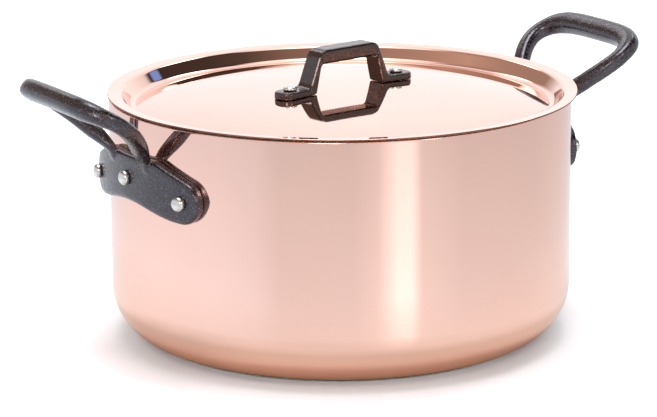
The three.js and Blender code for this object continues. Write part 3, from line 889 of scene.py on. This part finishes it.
def bridge_foot(side, foot_top):
    """A foot of the bridge handle, with its rounded end on one side of the lid, fitted to the crown."""
    inner, rivet = BRIDGE_BASE_HALF - LEG_BASE / 2, FOOT_RIVET_SPACING / 2
    end = rivet + FOOT_END
    half = FOOT_WIDTH / 2
    plan = [(inner, BRIDGE_WIDTH / 2), (rivet, half)]
    plan += arc((rivet, half), (end, half), (end, 0), FOOT_CORNER, FOOT_CORNER_STEPS)
    plan += [(x, -y) for x, y in reversed(plan)]
    if side < 0:
        plan = [(-x, y) for x, y in reversed(plan)]
    rings = [[(x, y, height_at(crown, math.hypot(x, y)) + SEAT_GAP) for x, y in plan]]
    for drop, inset in FOOT_EDGE_RINGS:
        level = foot_top - FOOT_EDGE * drop
        rings.append([(x, y, level) for x, y in inset_outline(plan, FOOT_EDGE * inset)])
    return lofted(rings)


lid_seat = height_at(crown, FOOT_RIVET_SPACING / 2) + SEAT_GAP
foot_top = lid_seat + FOOT_THICKNESS
bridge_bodies = [bridge_bar(foot_top, lid_seat + BRIDGE_HEIGHT)]
bridge_bodies += [bridge_foot(side, foot_top) for side in (-1, 1)]
bridge_mesh = cast("bridge_handle", bridge_bodies, BRIDGE_VOXEL, BRIDGE_SMOOTH)
bridge_set = lid_set @ Matrix.Translation((BRIDGE_OFFSET * MM, 0, 0))
show("lid_bridge", bridge_mesh, smooth_iron, "lid", "iron", "lid_handle", placed=bridge_set)
lid_underside = offset(lid_line(0), LID_SHEET)
lid_low = height_at(lid_underside, (FOOT_RIVET_SPACING + LID_RIVET.inner_head) / 2) - 2 * HEAD_GAP
lid_high = foot_top + HEAD_GAP
lid_rivet_mesh = mesh_of("lid_rivet", revolved(rivet_profile(LID_RIVET, lid_low, lid_high), RIVET_SEGMENTS))
for side, name in ((-1, "lid_rivet_left"), (1, "lid_rivet_right")):
    laid = bridge_set @ Matrix.Translation((side * FOOT_RIVET_SPACING / 2 * MM, 0, 0))
    show(name + "_head", lid_rivet_mesh, rivet_steel, "lid", "rivet", name, placed=laid)

# Camera

camera_data = bpy.data.cameras.new("camera")
camera_data.sensor_width = SENSOR_WIDTH
camera_data.lens = SENSOR_WIDTH / 2 / math.tan(math.radians(CAMERA_WIDTH_ANGLE) / 2)
camera_data.clip_end = CAMERA_REACH
camera = bpy.data.objects.new("camera", camera_data)
bpy.context.scene.collection.objects.link(camera)
facing = (CAMERA_TARGET - CAMERA_PLACE).to_track_quat("-Z", "Y").to_matrix().to_4x4()
camera.matrix_world = Matrix.Translation(CAMERA_PLACE) @ facing @ Matrix.Rotation(CAMERA_ROLL, 4, "Z")
bpy.context.scene.camera = camera


# Floor

def floor_material():
    """White, with painted shade round the pot: a colour of its own for the camera and one for what the copper
    mirrors, both set ring by ring.
    """
    material, nodes = new_material("white_floor_with_painted_shade")
    path = nodes.add("ShaderNodeLightPath")
    out = nodes.vector("LENGTH", nodes.place())
    along = nodes.spread(out, RING_FROM, RING_TO)

    def rings(stops):
        span = RING_TO - RING_FROM
        places = [((radius - RING_FROM) / span, [c / RING_GAIN for c in colour]) for radius, colour in stops]
        return nodes.vector("SCALE", nodes.ramp(along, places), scale=RING_GAIN)

    # Painted shade: the floor that the copper mirrors grows darker and browner towards the pot's foot
    colour = nodes.mix(path.outputs["Is Glossy Ray"], FLOOR_WHITE, rings(MIRRORED_PAINTED_SHADE))
    # Painted light and shade: the floor that the camera sees is tinted and brightened ring by ring, against
    # the copper's pink bounce and to set its shadow
    colour = nodes.mix(path.outputs["Is Camera Ray"], colour, rings(SEEN_PAINTED_SHADE))
    cloth = nodes.add("ShaderNodeBsdfDiffuse", {"Color": colour})
    clear = nodes.add("ShaderNodeBsdfTransparent")
    away = nodes.spread(out, MIRRORED_FROM, MIRRORED_TO)
    share = nodes.math("MULTIPLY", away, path.outputs["Is Glossy Ray"])
    mixed = nodes.add("ShaderNodeMixShader", {0: share, 1: cloth.outputs[0], 2: clear.outputs[0]})
    nodes.add("ShaderNodeOutputMaterial", {"Surface": mixed.outputs[0]})
    return material


def floor_disc():
    body = bmesh.new()
    bmesh.ops.create_circle(body, cap_ends=True, segments=FLOOR_SEGMENTS, radius=FLOOR_RADIUS)
    mesh = bpy.data.meshes.new("floor")
    body.to_mesh(mesh)
    body.free()
    mesh.materials.append(floor_material())
    disc = bpy.data.objects.new("floor", mesh)
    disc.location.z = FLOOR_LEVEL
    bpy.context.scene.collection.objects.link(disc)


floor_disc()


# Studio

def studio_world():
    """A bright tent with softer and stronger panels round the pot, lamps, and plain white for the camera."""
    world = bpy.data.worlds.new("studio")
    world.use_nodes = True
    nodes = Nodes(world.node_tree)
    towards = CAMERA_PLACE - CAMERA_TARGET
    towards = Vector((towards.x, towards.y, 0)).normalized()
    rightward = Vector((-towards.y, towards.x, 0))
    way = nodes.add("ShaderNodeTexCoord").outputs["Generated"]
    front = nodes.vector("DOT_PRODUCT", way, towards)
    side = nodes.vector("DOT_PRODUCT", way, rightward)
    up = nodes.add("ShaderNodeSeparateXYZ", {0: way}).outputs["Z"]
    round_about = nodes.spread(nodes.math("ARCTAN2", side, front), -math.pi, math.pi)
    height = nodes.math("ARCSINE", up)

    def panels(stops):
        """The light round a ring, as a share of BRIGHTEST."""
        return nodes.ramp(round_about, [
            ((angle + 180) / 360, [level * channel / BRIGHTEST for channel in tint])
            for angle, level, tint in stops
        ])

    def climbing(angle, heights, *levels):
        """Goes from one level to another, or from 0 to 1, between two heights in degrees."""
        return nodes.spread(angle, math.radians(heights[0]), math.radians(heights[1]), *levels)

    lower = nodes.vector("SCALE", panels(LOWER_RING), scale=climbing(height, LOW_HEIGHTS, *LOW_LEVELS))
    drop = nodes.spread(front, *BEHIND_COSINES, 0, math.radians(BEHIND_DROP))
    lift = nodes.spread(front, *FRONT_COSINES, 0, math.radians(FRONT_LIFT))
    climb = nodes.math("SUBTRACT", nodes.math("ADD", height, drop), lift)
    tent = nodes.mix(climbing(climb, UPPER_HEIGHTS), lower, panels(UPPER_RING))
    band = nodes.math("MULTIPLY", climbing(height, GLOW_RISE), climbing(height, GLOW_FALL))
    glowing = nodes.math("MULTIPLY", nodes.spread(front, *GLOW_COSINES), band)
    tent = nodes.mix(glowing, tent, GLOW)
    tent = nodes.mix(climbing(height, OVERHEAD_HEIGHTS), tent, OVERHEAD)
    tent = nodes.vector("SCALE", tent, scale=BRIGHTEST)
    for angle, elevation, level, tint, inner, outer in LAMPS:
        level_out = math.cos(math.radians(elevation))
        aim = towards * level_out * math.cos(math.radians(angle))
        aim += rightward * level_out * math.sin(math.radians(angle))
        aim.z = math.sin(math.radians(elevation))
        near = nodes.vector("DOT_PRODUCT", way, aim)
        lit = nodes.spread(near, math.cos(math.radians(outer)), math.cos(math.radians(inner)), 0, level)
        tent = nodes.vector("ADD", tent, nodes.vector("SCALE", tint, scale=lit))
    light = nodes.add("ShaderNodeBackground", {"Color": tent, "Strength": 1.0})
    plain = nodes.add("ShaderNodeBackground", {"Color": (1, 1, 1, 1), "Strength": 1.0})
    seen = nodes.add("ShaderNodeLightPath").outputs["Is Camera Ray"]
    chosen = nodes.add("ShaderNodeMixShader", {0: seen, 1: light.outputs[0], 2: plain.outputs[0]})
    nodes.add("ShaderNodeOutputWorld", {"Surface": chosen.outputs[0]})
    return world


scene = bpy.context.scene
scene.world = studio_world()
scene.view_settings.view_transform = "Standard"
